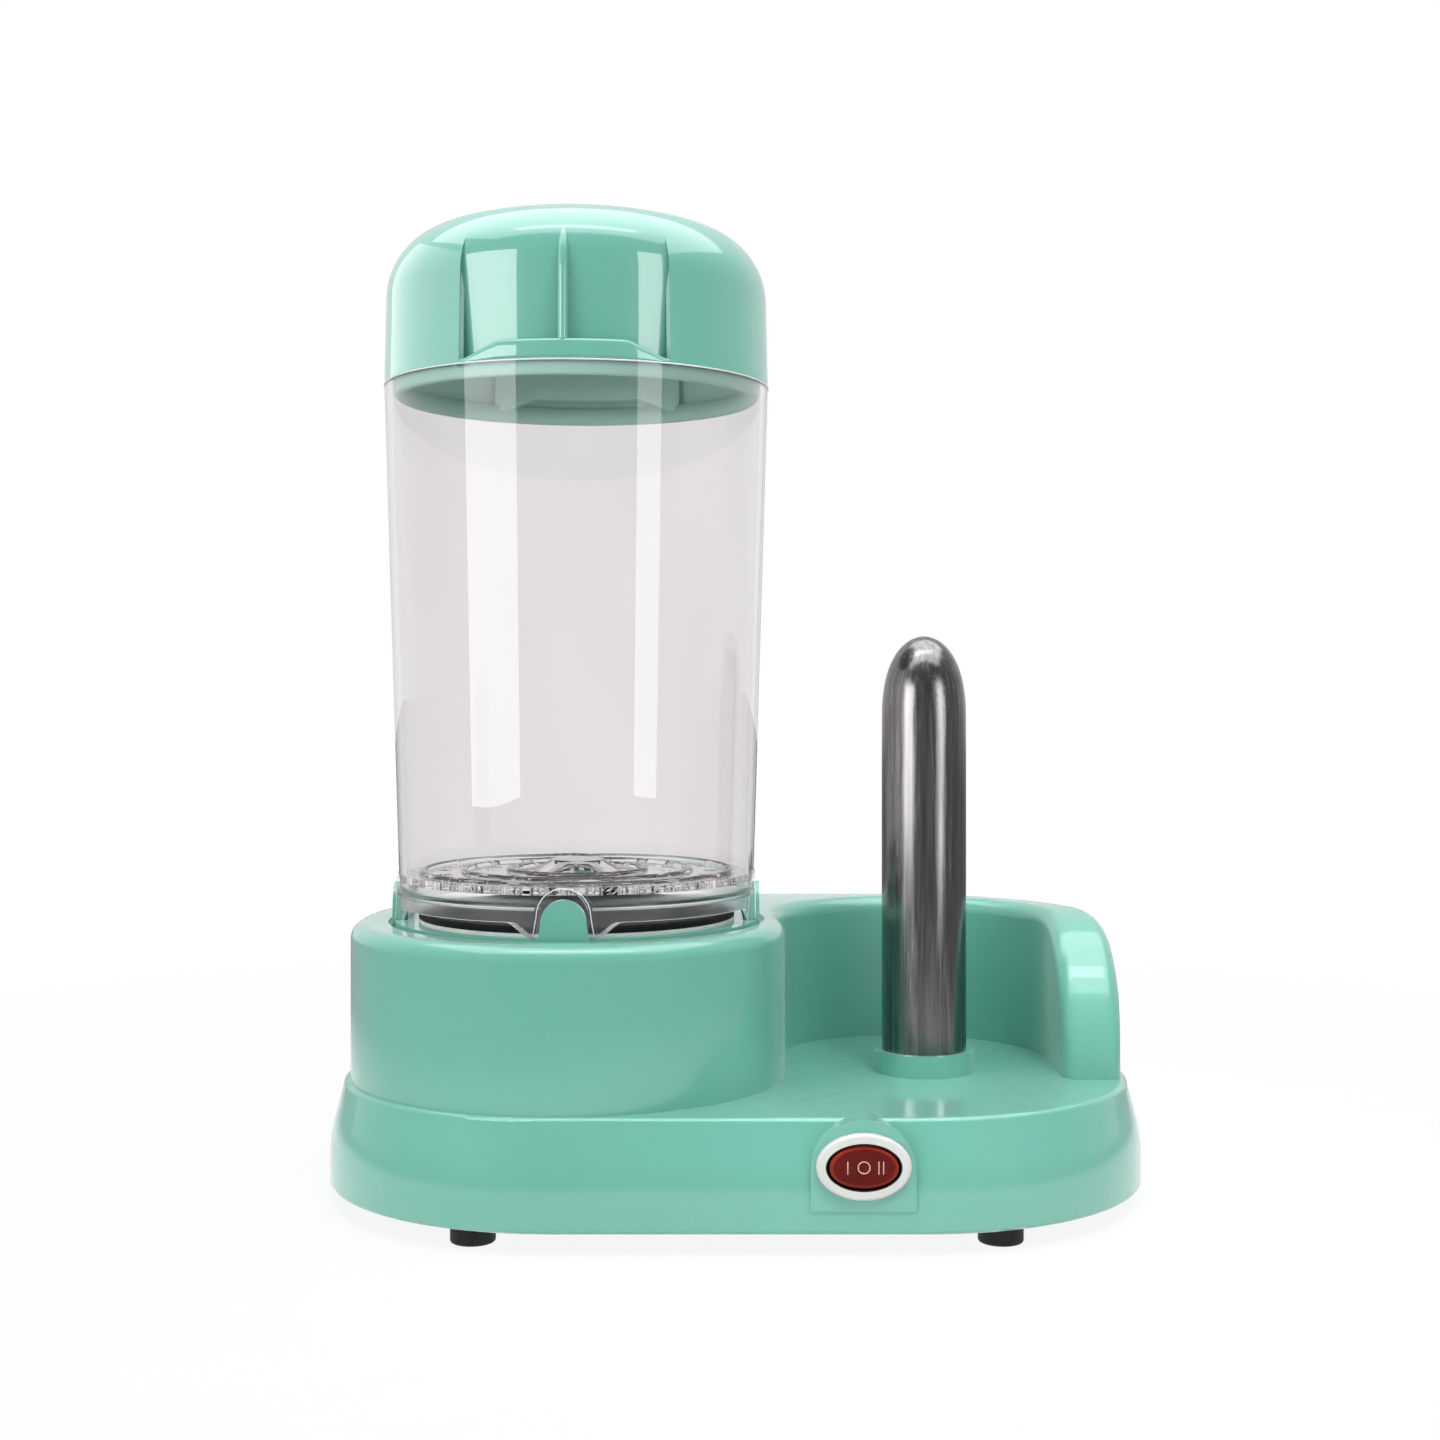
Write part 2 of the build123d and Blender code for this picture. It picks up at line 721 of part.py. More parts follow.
# Cord gland: a flanged bush through the rear pad with a nut inside
with BuildPart() as cord_gland:
    with BuildSketch(front_plane(rear_y + gland_flange)):
        with Locations((gland_x, gland_z)):
            Circle(gland_flange_radius)
    extrude(amount=gland_flange)
    fillet(cord_gland.edges().sort_by(Axis.Y)[-1], gland_rounding)
    with BuildSketch(front_plane(rear_y)):
        with Locations((gland_x, gland_z)):
            Circle(gland_neck_radius)
    extrude(amount=boss_proud + wall + gland_nut)
    with BuildSketch(front_plane(rear_y + gland_flange)):
        with Locations((gland_x, gland_z)):
            Circle(gland_bore_radius)
    extrude(amount=2 * (gland_flange + wall + gland_nut), mode=Mode.SUBTRACT)
finish(cord_gland.part, "cord_gland")

# Terminal block on the bottom cover
with BuildPart() as terminal_block:
    with Locations((gland_x, block_y, cover_top)):
        Box(block_length, block_width, block_height, align=upward)
    with Locations([(x, y, cover_top + block_height) for x, y in pole_places]):
        Cylinder(screw_radius + fit, block_height, mode=Mode.SUBTRACT)
finish(terminal_block.part, "terminal_block")
with BuildPart() as terminal_screws:
    with Locations([(x, y, cover_top + block_height / 2) for x, y in pole_places]):
        Cylinder(screw_radius, block_height / 2 + screw_head, align=upward)
    with Locations([(x, y, cover_top + block_height) for x, y in pole_places]):
        Cylinder(screw_head_radius, screw_head, align=upward)
finish(terminal_screws.part, "terminal_screws")

# Leads between the block, the switch and the two heaters
block_face = block_y - block_width / 2
lead_z = cover_top + block_height / 2
blade_end = back_y + blade_length
pin_end = heater_z - heater_pin_length
leg_end = channel_z - element_leg
thermostat_end = plate_under - thermostat_height
low_z = cover_top + 2 * lead_radius
blade_x = [x for x, z in blade_places]
pole_x = [x for x, y in pole_places]
finish(lead([
    (pole_x[1], block_face, lead_z),
    (pole_x[1], block_face - lead_start, lead_z),
    (pole_x[1], block_face - 2 * lead_start, low_z),
    (blade_x[1], supply_turn_y, low_z),
    (blade_x[1], blade_end + lead_start, switch_z),
    (blade_x[1], blade_end, switch_z),
]), "lead_supply")
finish(lead([
    (blade_x[0], blade_end, switch_z),
    (blade_x[0], blade_end + lead_start, switch_z),
    (jar_x, jar_y - thermostat_pole, switch_z),
    (jar_x, jar_y - thermostat_pole, thermostat_end),
]), "lead_plate_feed")
finish(lead([
    (jar_x, jar_y + thermostat_pole, thermostat_end),
    (jar_x, jar_y + thermostat_pole, leg_end - lead_start),
    (*leg_places[1], leg_end - lead_start),
    (*leg_places[1], leg_end),
]), "lead_thermostat")
finish(lead([
    (*leg_places[0], leg_end),
    (*leg_places[0], leg_end - 2 * lead_start),
    (pole_x[0], block_face - lead_start, lead_z),
    (pole_x[0], block_face, lead_z),
]), "lead_plate_return")
finish(lead([
    (blade_x[2], blade_end, switch_z),
    (blade_x[2], blade_end + lead_start, switch_z),
    (blade_x[2], blade_end + 2 * lead_start, low_z),
    (*heater_pin_places[0], low_z),
    (*heater_pin_places[0], pin_end),
]), "lead_spike_feed")
finish(lead([
    (*heater_pin_places[1], pin_end),
    (*heater_pin_places[1], low_z),
    (heater_pin_places[1][0], return_turn_y, low_z),
    (pole_x[2], return_turn_y, low_z),
    (pole_x[2], block_face - lead_start, lead_z),
    (pole_x[2], block_face, lead_z),
]), "lead_spike_return")

# Clear jar with a ridged steam floor, four feet and an arch over each tab
jar_slope = (jar_top_radius - jar_foot_radius) / (jar_top - jar_foot)
floor_under = jar_floor_height - jar_floor
cone_top = jar_floor_height + cone_height
pocket_inside = tab_radius - slide
pocket_outside = jar_foot_radius + pocket_proud
pocket_grow = 2 * (slide + pocket_wall)
pocket_outline = tongue(
    tab_width + pocket_grow, jar_foot, tab_top + pocket_room + pocket_wall, tab_top_width + pocket_grow)
notch_outline = tongue(
    tab_width + 2 * slide, jar_foot - slide, tab_top + pocket_room, tab_top_width + 2 * slide)
arch_quarter = jar_foot_radius * sin(radians(45))
arch_half_low = arch_quarter - foot_half_low / sqrt(2)
arch_half_top = arch_quarter - foot_half_top / sqrt(2)


def jar_radius(z):
    return jar_foot_radius + (z - jar_foot) * jar_slope


with BuildPart() as jar:
    with BuildSketch(jar_section):
        with BuildLine():
            Polyline(
                (0, cone_top - jar_floor),
                (cone_top_radius - jar_floor, cone_top - jar_floor),
                (cone_radius - jar_floor, floor_under),
                (jar_radius(floor_under) - jar_wall, floor_under),
                (jar_radius(jar_foot) - jar_wall, jar_foot),
                (jar_radius(jar_foot), jar_foot),
                (jar_top_radius, jar_top),
                (jar_top_radius - jar_wall, jar_top),
                (jar_radius(jar_floor_height) - jar_wall, jar_floor_height),
                (cone_radius, jar_floor_height),
                (cone_top_radius, cone_top),
                (0, cone_top),
                close=True,
            )
        make_face()
        with Locations((jar_radius(bead_height), bead_height)):
            Ellipse(bead_proud, bead_size / 2)
        with Locations([(radius, jar_floor_height) for radius in floor_ridge_radii]):
            Circle(floor_ridge)
    revolve(axis=jar_axis)
    for angle in tab_angles:
        with BuildSketch(radial_plane(angle + 45, jar_foot_radius / 2)) as arch:
            with BuildLine():
                Polyline(
                    (-arch_half_low, jar_foot - slide),
                    (arch_half_low, jar_foot - slide),
                    (arch_half_top, arch_top),
                    (-arch_half_top, arch_top),
                    close=True,
                )
            make_face()
            fillet(arch.vertices().group_by(Axis.Y)[-1], arch_corner)
        extrude(amount=jar_foot_radius, mode=Mode.SUBTRACT)
    for angle in tab_angles:
        with BuildSketch(radial_plane(angle, pocket_inside)):
            add(pocket_outline)
        extrude(amount=pocket_outside - pocket_inside)
        with BuildSketch(radial_plane(angle, pocket_inside)):
            add(notch_outline)
        extrude(amount=tab_thickness + 4 * slide, mode=Mode.SUBTRACT)
    with Locations((jar_x, jar_y, floor_under)):
        for ring_radius, count in zip(steam_ring_radii, steam_hole_counts):
            with PolarLocations(ring_radius, count):
                Cylinder(steam_hole_radius, 3 * jar_floor, mode=Mode.SUBTRACT)
finish(jar.part, "jar")


def lid_solid(inset):
    rim = jar_top_radius - inset
    shoulder = rim - lid_draft
    crown = lid_crown_radius - inset
    crown_centre = jar_top + lid_height - lid_crown_radius

    def crown_z(radius):
        return crown_centre + sqrt(crown ** 2 - radius ** 2)

    with BuildPart() as solid:
        with BuildSketch(jar_section) as profile:
            with BuildLine():
                crown_line = ThreePointArc(
                    (0, crown_z(0)),
                    (shoulder / 2, crown_z(shoulder / 2)),
                    (shoulder, crown_z(shoulder)),
                )
                Polyline(crown_line @ 1, (rim, jar_top), (0, jar_top), crown_line @ 0)
            make_face()
            corner = profile.vertices().sort_by_distance((shoulder, crown_z(shoulder)))[0]
            fillet(corner, lid_shoulder - inset)
        revolve(axis=jar_axis)
    return solid.part


def back_wall_radius(height):
    # from the jar axis, at a height above the lid's rim
    return recess_radius + recess_lean * height


def finger_recess(grow):
    # front and back pockets outside a leaning round back wall, wider and deeper by grow
    with BuildPart() as pocket:
        for facing in (-90, 90):
            with BuildSketch(radial_plane(facing, 0)):
                with BuildLine():
                    Polyline(
                        (-recess_half_width, jar_top + rim_thickness),
                        (-ledge_half_width, jar_top + ledge_height),
                        (ledge_half_width, jar_top + ledge_height),
                        (recess_half_width, jar_top + rim_thickness),
                        (recess_half_width, jar_top + recess_top),
                        (-recess_half_width, jar_top + recess_top),
                        close=True,
                    )
                make_face()
                if grow:
                    offset(amount=grow, kind=Kind.INTERSECTION)
            extrude(amount=2 * jar_top_radius)
        soft = pocket.edges().filter_by(Axis.Y).group_by(Axis.Z)[-1]
        fillet(soft, recess_corner + grow)
        with Locations((jar_x, jar_y, jar_top)):
            Cone(
                back_wall_radius(-lid_height) - grow,
                back_wall_radius(lid_height) - grow,
                2 * lid_height,
                mode=Mode.SUBTRACT,
            )
    return pocket.part


def on_back_wall(edge):
    # edges of the recess's back wall, apart from its foot on the ledge
    outside = [
        hypot(end.X - jar_x, end.Y - jar_y) - back_wall_radius(end.Z - jar_top)
        for end in edge.vertices()
    ]
    return max(outside) < fit and edge.center().Z > jar_top + ledge_height + fit


# Lid: domed shell with finger recesses, a fin in each and a plug lip
lid_outer = lid_solid(0)
lid_inner = lid_solid(lid_wall)
recess_outer = finger_recess(0)
recess_inner = finger_recess(lid_wall)
with BuildPart() as grip:
    add(recess_outer)
    fillet(grip.edges().filter_by(on_back_wall), recess_back_rounding)
    with Locations((jar_x, jar_y, jar_top)):
        Box(fin_thickness, 4 * jar_top_radius, 4 * recess_top, mode=Mode.SUBTRACT)

with BuildPart() as lid_cavity:
    add(lid_inner)
    add(recess_inner, mode=Mode.SUBTRACT)

with BuildPart() as lid:
    add(lid_outer)
    add(grip.part, mode=Mode.SUBTRACT)
    add(lid_cavity.part, mode=Mode.SUBTRACT)
    lip_radius = jar_top_radius - jar_wall - slide
    with BuildSketch(jar_section):
        with Locations((lip_radius - lip_thickness / 2, jar_top + (rim_thickness - lip_depth) / 2)):
            Rectangle(lip_thickness, lip_depth + rim_thickness)
        with Locations((lip_radius, jar_top + rim_thickness / 2)):
            Rectangle(lip_thickness, rim_thickness)
    revolve(axis=jar_axis)
finish(lid.part, "lid")
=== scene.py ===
import bmesh
import bpy
import json
import math
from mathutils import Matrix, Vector

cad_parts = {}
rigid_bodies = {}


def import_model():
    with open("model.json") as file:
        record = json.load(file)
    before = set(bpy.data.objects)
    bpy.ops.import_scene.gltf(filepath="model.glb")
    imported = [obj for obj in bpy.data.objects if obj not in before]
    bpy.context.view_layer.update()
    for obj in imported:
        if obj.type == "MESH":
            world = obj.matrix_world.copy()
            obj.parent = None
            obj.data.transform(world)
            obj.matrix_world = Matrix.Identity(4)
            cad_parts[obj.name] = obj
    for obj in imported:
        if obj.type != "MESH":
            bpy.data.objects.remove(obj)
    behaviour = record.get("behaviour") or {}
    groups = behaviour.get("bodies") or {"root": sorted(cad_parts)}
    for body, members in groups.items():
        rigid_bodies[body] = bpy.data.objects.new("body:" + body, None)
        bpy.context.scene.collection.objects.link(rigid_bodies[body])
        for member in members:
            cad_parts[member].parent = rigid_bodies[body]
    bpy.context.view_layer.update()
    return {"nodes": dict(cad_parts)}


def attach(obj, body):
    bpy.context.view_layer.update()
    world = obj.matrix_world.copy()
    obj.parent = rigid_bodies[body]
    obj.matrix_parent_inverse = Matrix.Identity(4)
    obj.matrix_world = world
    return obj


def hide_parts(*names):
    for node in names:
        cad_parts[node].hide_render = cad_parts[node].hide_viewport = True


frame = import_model()
parts = frame["nodes"]
scene = bpy.context.scene
print("frame loaded:", len(parts), "nodes")

noiseSet = {"reach": (0.3, 0.7), "ramp": (0.35, 0.65), "mottleDetail": 4, "skinDetail": 2}


def fromSrgb(red, green, blue):
    def linear(value):
        value = value / 255
        return value / 12.92 if value <= 0.04045 else ((value + 0.055) / 1.055) ** 2.4
    return (linear(red), linear(green), linear(blue), 1)


def startFinish(name):
    finish = bpy.data.materials.new(name)
    finish.use_nodes = True
    tree = finish.node_tree
    return finish, tree, tree.nodes["Principled BSDF"]


def objectPoints(tree, stretch=(1, 1, 1)):
    points = tree.nodes.new("ShaderNodeTexCoord")
    mapping = tree.nodes.new("ShaderNodeMapping")
    mapping.inputs["Scale"].default_value = stretch
    tree.links.new(points.outputs["Object"], mapping.inputs["Vector"])
    return mapping.outputs["Vector"]


def noiseOf(tree, points, scale, detail):
    noise = tree.nodes.new("ShaderNodeTexNoise")
    noise.inputs["Scale"].default_value = scale
    noise.inputs["Detail"].default_value = detail
    tree.links.new(points, noise.inputs["Vector"])
    return noise.outputs["Fac"]


def rangeOf(tree, value, source, target=(0, 1)):
    reach = tree.nodes.new("ShaderNodeMapRange")
    reach.inputs["From Min"].default_value, reach.inputs["From Max"].default_value = source
    reach.inputs["To Min"].default_value, reach.inputs["To Max"].default_value = target
    tree.links.new(value, reach.inputs["Value"])
    return reach.outputs["Result"]


def mathOf(tree, operation, *values):
    node = tree.nodes.new("ShaderNodeMath")
    node.operation = operation
    for place, value in zip(node.inputs, values):
        tree.links.new(value, place)
    return node.outputs[0]


def lengthOf(tree, points):
    node = tree.nodes.new("ShaderNodeVectorMath")
    node.operation = "LENGTH"
    tree.links.new(points, node.inputs[0])
    return node.outputs["Value"]


def splitOf(tree, kind):
    places = tree.nodes.new("ShaderNodeTexCoord")
    split = tree.nodes.new("ShaderNodeSeparateXYZ")
    tree.links.new(places.outputs[kind], split.inputs[0])
    return split.outputs


def blendOf(tree, value, darker, lighter):
    ramp = tree.nodes.new("ShaderNodeValToRGB")
    for element, place, colour in zip(ramp.color_ramp.elements, noiseSet["ramp"], (darker, lighter)):
        element.position = place
        element.color = fromSrgb(*colour)
    tree.links.new(value, ramp.inputs["Fac"])
    return ramp.outputs["Color"]


mixPlaces = {"FLOAT": (2, 3, 0), "RGBA": (6, 7, 2)}  # where the Mix node keeps A, B and its result


def mixedOf(tree, share, first, second, kind):
    mix = tree.nodes.new("ShaderNodeMix")
    mix.data_type = kind
    placeA, placeB, placeOut = mixPlaces[kind]
    tree.links.new(share, mix.inputs[0])
    tree.links.new(first, mix.inputs[placeA])
    tree.links.new(second, mix.inputs[placeB])
    return mix.outputs[placeOut]


def dimple(tree, shader, height, strength, distance):
    bump = tree.nodes.new("ShaderNodeBump")
    bump.inputs["Strength"].default_value = strength
    bump.inputs["Distance"].default_value = distance
    tree.links.new(height, bump.inputs["Height"])
    tree.links.new(bump.outputs["Normal"], shader.inputs["Normal"])


def mouldedFinish(name, look):
    finish, tree, shader = startFinish(name)
    points = objectPoints(tree, look.get("stretch", (1, 1, 1)))
    mottle = noiseOf(tree, points, look["mottleScale"], noiseSet["mottleDetail"])
    tree.links.new(blendOf(tree, mottle, look["darker"], look["lighter"]), shader.inputs["Base Color"])
    skin = noiseOf(tree, points, look["skinScale"], noiseSet["skinDetail"])
    tree.links.new(rangeOf(tree, skin, noiseSet["reach"], look["roughness"]), shader.inputs["Roughness"])
    dimple(tree, shader, skin, look["skinStrength"], look["skinDepth"])
    for socket, value in look.get("sockets", {}).items():
        shader.inputs[socket].default_value = value
    return finish


def givePaint(nodeNames, finish):
    for nodeName in nodeNames:
        node = parts[nodeName]
        if not node.material_slots:
            node.data.materials.append(finish)
        for place in node.material_slots:
            place.material = finish


# mint body: moulded plastic, a glossier lid, and a paler, duller inside of the lid, which is painted light standing
# in for light that reaches it through the jar
mintLook = {
    "darker": (98, 169, 152), "lighter": (104, 175, 158),
    "mottleScale": 9, "skinScale": 260, "skinStrength": 0.03, "skinDepth": 0.0004,
    "roughness": (0.34, 0.42),
    "sockets": {"Coat Weight": 1.0, "Coat Roughness": 0.05, "Coat IOR": 1.6, "IOR": 1.5,
                "Sheen Weight": 0.22, "Sheen Roughness": 0.35},
}
mintPlastic = mouldedFinish("mintPlastic", mintLook)
givePaint(["upper_housing"], mintPlastic)

lidLook = dict(mintLook, sockets={"Coat Weight": 1.0, "Coat Roughness": 0.04, "Coat IOR": 1.7, "IOR": 1.45})
lidPlastic = mouldedFinish("lidPlastic", lidLook)

# inside of the lid: the same mint plastic painted paler and greyer, as painted light from below through the jar
insidePaintedLightLook = dict(mintLook, darker=(158, 203, 189), lighter=(165, 209, 196),
                  roughness=(0.55, 0.65), sockets={})
lidInsidePaintedLight = mouldedFinish("lidInsidePaintedLight", insidePaintedLightLook)

coverLook = {
    "darker": (92, 172, 150), "lighter": (98, 180, 158),
    "mottleScale": 12, "skinScale": 900, "skinStrength": 0.25, "skinDepth": 0.0003,
    "roughness": (0.42, 0.55),
}
coverPlastic = mouldedFinish("coverPlastic", coverLook)
givePaint(["bottom_cover"], coverPlastic)

# clear jar, with a frosted band below its bead
jarLook = {
    "ior": 1.49, "stretch": (1, 1, 0.3), "flowScale": 30, "flowDetail": 2,
    "flowStrength": 0.05, "flowDepth": 0.0004,
    "clear": ((239, 237, 238), (243, 241, 242)), "roughness": (0.0, 0.02),
    "band": ((236, 239, 240), (243, 245, 246)), "bandRoughness": (0.14, 0.22),
    "bandEdge": (0.0916, 0.0930),  # heights where the band ends and the clear wall begins
}


def clearFinish():
    finish, tree, shader = startFinish("clearJarPlastic")
    flow = noiseOf(tree, objectPoints(tree, jarLook["stretch"]), jarLook["flowScale"], jarLook["flowDetail"])
    above = rangeOf(tree, splitOf(tree, "Object")["Z"], jarLook["bandEdge"])
    clear = blendOf(tree, flow, *jarLook["clear"])
    band = blendOf(tree, flow, *jarLook["band"])
    tree.links.new(mixedOf(tree, above, band, clear, "RGBA"), shader.inputs["Base Color"])
    frost = rangeOf(tree, flow, noiseSet["reach"], jarLook["bandRoughness"])
    polish = rangeOf(tree, flow, noiseSet["reach"], jarLook["roughness"])
    tree.links.new(mixedOf(tree, above, frost, polish, "FLOAT"), shader.inputs["Roughness"])
    shader.inputs["Transmission Weight"].default_value = 1
    shader.inputs["IOR"].default_value = jarLook["ior"]
    dimple(tree, shader, flow, jarLook["flowStrength"], jarLook["flowDepth"])
    return finish


clearPlastic = clearFinish()
givePaint(["jar"], clearPlastic)
parts["jar"].visible_shadow = False  # light passes through clear plastic

# polished spike and the metal inside
spikeLook = {
    "darker": (116, 115, 114), "lighter": (145, 144, 142), "stretch": (1, 1, 0.04),
    "mottleScale": 700, "skinScale": 1400, "skinStrength": 0.06, "skinDepth": 0.0002,
    "roughness": (0.16, 0.28), "sockets": {"Metallic": 1.0, "Anisotropic": 0.35},
}
spikeSteel = mouldedFinish("spikeSteel", spikeLook)
givePaint(["spike_tube"], spikeSteel)

steelLook = {
    "darker": (150, 150, 150), "lighter": (185, 185, 184),
    "mottleScale": 160, "skinScale": 900, "skinStrength": 0.12, "skinDepth": 0.0002,
    "roughness": (0.28, 0.42), "sockets": {"Metallic": 1.0},
}
zincSteel = mouldedFinish("zincSteel", steelLook)
givePaint(["cover_screws", "clamp_ring", "clamp_screws", "thermostat_bracket", "bracket_screws",
           "spike_retainer", "retainer_screws"], zincSteel)

elementLook = {
    "darker": (70, 66, 64), "lighter": (104, 98, 94),
    "mottleScale": 240, "skinScale": 1200, "skinStrength": 0.2, "skinDepth": 0.0003,
    "roughness": (0.45, 0.6), "sockets": {"Metallic": 1.0},
}
elementSteel = mouldedFinish("elementSteel", elementLook)
givePaint(["heating_element", "spike_heater"], elementSteel)

brassLook = {
    "darker": (172, 134, 66), "lighter": (205, 168, 92),
    "mottleScale": 300, "skinScale": 1200, "skinStrength": 0.1, "skinDepth": 0.0002,
    "roughness": (0.25, 0.38), "sockets": {"Metallic": 1.0},
}
brass = mouldedFinish("brass", brassLook)
givePaint(["switch_terminals", "terminal_screws"], brass)

# black plate with a speckled nonstick coat
plateLook = {
    "darker": (12, 12, 13), "lighter": (21, 21, 22),
    "mottleScale": 900, "skinScale": 1500, "skinStrength": 0.3, "skinDepth": 0.0002,
    "roughness": (0.5, 0.62), "sockets": {"Specular IOR Level": 0.2},
}
nonstickBlack = mouldedFinish("nonstickBlack", plateLook)
givePaint(["hot_plate"], nonstickBlack)

sealLook = {
    "darker": (196, 198, 194), "lighter": (214, 216, 212),
    "mottleScale": 120, "skinScale": 1800, "skinStrength": 0.2, "skinDepth": 0.0002,
    "roughness": (0.5, 0.65),
}
siliconeSeal = mouldedFinish("siliconeSeal", sealLook)
givePaint(["plate_seal"], siliconeSeal)

ceramicLook = {
    "darker": (222, 216, 203), "lighter": (238, 233, 222),
    "mottleScale": 200, "skinScale": 1500, "skinStrength": 0.25, "skinDepth": 0.0002,
    "roughness": (0.5, 0.7),
}
ceramic = mouldedFinish("ceramic", ceramicLook)
givePaint(["spike_insulator", "thermostat", "thermal_fuse"], ceramic)

# switch: white bezel, black painted shade inside its window, red rocker whose bevelled rim is a painted highlight,
# and pale marks
bezelLook = {
    "darker": (203, 203, 202), "lighter": (210, 210, 208),
    "mottleScale": 60, "skinScale": 700, "skinStrength": 0.05, "skinDepth": 0.0002,
    "roughness": (0.2, 0.28),
}
bezelWhite = mouldedFinish("bezelWhite", bezelLook)
# the window's dark tone is painted shade in the gap between rocker and bezel
windowSet = {
    "x": 0.0333, "z": 0.0240, "halfWide": 0.0101, "halfHigh": 0.00635, "deep": 1000, "dark": (16, 15, 15),
}


def paintWindowShade(finish):  # inside the window the case is painted black, as painted shade in the gap around the rocker
    tree = finish.node_tree
    shader = tree.nodes["Principled BSDF"]
    places = tree.nodes.new("ShaderNodeTexCoord")
    oval = tree.nodes.new("ShaderNodeMapping")
    oval.vector_type = "TEXTURE"
    oval.inputs["Location"].default_value = (windowSet["x"], 0, windowSet["z"])
    oval.inputs["Scale"].default_value = (windowSet["halfWide"], windowSet["deep"], windowSet["halfHigh"])
    tree.links.new(places.outputs["Object"], oval.inputs["Vector"])
    inside = tree.nodes.new("ShaderNodeMath")
    inside.operation = "LESS_THAN"
    inside.inputs[1].default_value = 1
    tree.links.new(lengthOf(tree, oval.outputs["Vector"]), inside.inputs[0])
    mix = tree.nodes.new("ShaderNodeMix")
    mix.data_type = "RGBA"
    mix.inputs["B"].default_value = fromSrgb(*windowSet["dark"])
    white = shader.inputs["Base Color"].links[0].from_socket
    tree.links.new(inside.outputs[0], mix.inputs["Factor"])
    tree.links.new(white, mix.inputs["A"])
    tree.links.new(mix.outputs["Result"], shader.inputs["Base Color"])


paintWindowShade(bezelWhite)
givePaint(["switch_body"], bezelWhite)

rockerLook = {
    "darker": (84, 14, 9), "lighter": (97, 20, 14),
    "mottleScale": 90, "skinScale": 700, "skinStrength": 0.04, "skinDepth": 0.0002,
    "roughness": (0.26, 0.34), "sockets": {"Specular IOR Level": 0.15},
}
rockerRed = mouldedFinish("rockerRed", rockerLook)
# the bevelled rim is a lighter copy of the red: a painted highlight
rockerRimHighlightLook = dict(rockerLook, darker=(122, 36, 22), lighter=(136, 44, 28))
rockerRimHighlight = mouldedFinish("rockerRimHighlight", rockerRimHighlightLook)
markLook = dict(bezelLook, darker=(196, 172, 166), lighter=(206, 184, 178))
markPaint = mouldedFinish("markPaint", markLook)

# rubber, gland, block and leads
rubberLook = {
    "darker": (9, 9, 9), "lighter": (17, 17, 17),
    "mottleScale": 300, "skinScale": 2200, "skinStrength": 0.4, "skinDepth": 0.0002,
    "roughness": (0.55, 0.75),
}
footRubber = mouldedFinish("footRubber", rubberLook)
givePaint(["foot_front_left", "foot_front_right", "foot_back_left", "foot_back_right"], footRubber)

glandLook = dict(rubberLook, darker=(24, 24, 25), lighter=(34, 34, 35), roughness=(0.38, 0.5))
glandPlastic = mouldedFinish("glandPlastic", glandLook)
givePaint(["cord_gland"], glandPlastic)

blockLook = dict(ceramicLook, darker=(206, 200, 184), lighter=(220, 214, 199), roughness=(0.35, 0.5))
blockPlastic = mouldedFinish("blockPlastic", blockLook)
givePaint(["terminal_block"], blockPlastic)

leadSet = {
    "shade": 0.9,  # the darker tone of each sleeve
    "brown": (104, 62, 38), "white": (222, 222, 218), "blue": (38, 82, 150),
    "leads": {"lead_supply": "brown", "lead_plate_feed": "brown", "lead_spike_feed": "brown",
              "lead_thermostat": "white", "lead_plate_return": "blue", "lead_spike_return": "blue"},
}
for leadName, colourName in leadSet["leads"].items():
    leadColour = leadSet[colourName]
    shaded = tuple(int(leadSet["shade"] * c) for c in leadColour)
    leadLook = dict(sealLook, lighter=leadColour, darker=shaded)
    givePaint([leadName], mouldedFinish(leadName + "Sleeve", leadLook))
print("finishes done:", len(bpy.data.materials))


def newPiece(name, points, faces, finishes, body):
    mesh = bpy.data.meshes.new(name)
    mesh.from_pydata(points, [], faces)
    mesh.validate()
    shape = bmesh.new()
    shape.from_mesh(mesh)
    bmesh.ops.recalc_face_normals(shape, faces=shape.faces)  # every face looks outward
    shape.to_mesh(mesh)
    shape.free()
    for finish in finishes:
        mesh.materials.append(finish)
    for face in mesh.polygons:
        face.use_smooth = True
    piece = bpy.data.objects.new(name, mesh)
    scene.collection.objects.link(piece)
    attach(piece, body)
    return piece


def ringFaces(rows, columns, loop=False):  # loop joins the last row to the first
    faces = []
    for row in range(rows if loop else rows - 1):
        upper = (row + 1) % rows
        for column in range(columns):
            after = (column + 1) % columns
            faces.append((row * columns + column, row * columns + after,
                          upper * columns + after, upper * columns + column))
    return faces


def endFaces(rows, columns):  # one face over each end of a row of rings
    return [tuple(reversed(range(columns))), tuple(range((rows - 1) * columns, rows * columns))]


def fullTurn(columns):
    return [2 * math.pi * c / columns for c in range(columns)]


def smoothStep(low, high, value):
    share = min(max((value - low) / (high - low), 0), 1)
    return share * share * (3 - 2 * share)


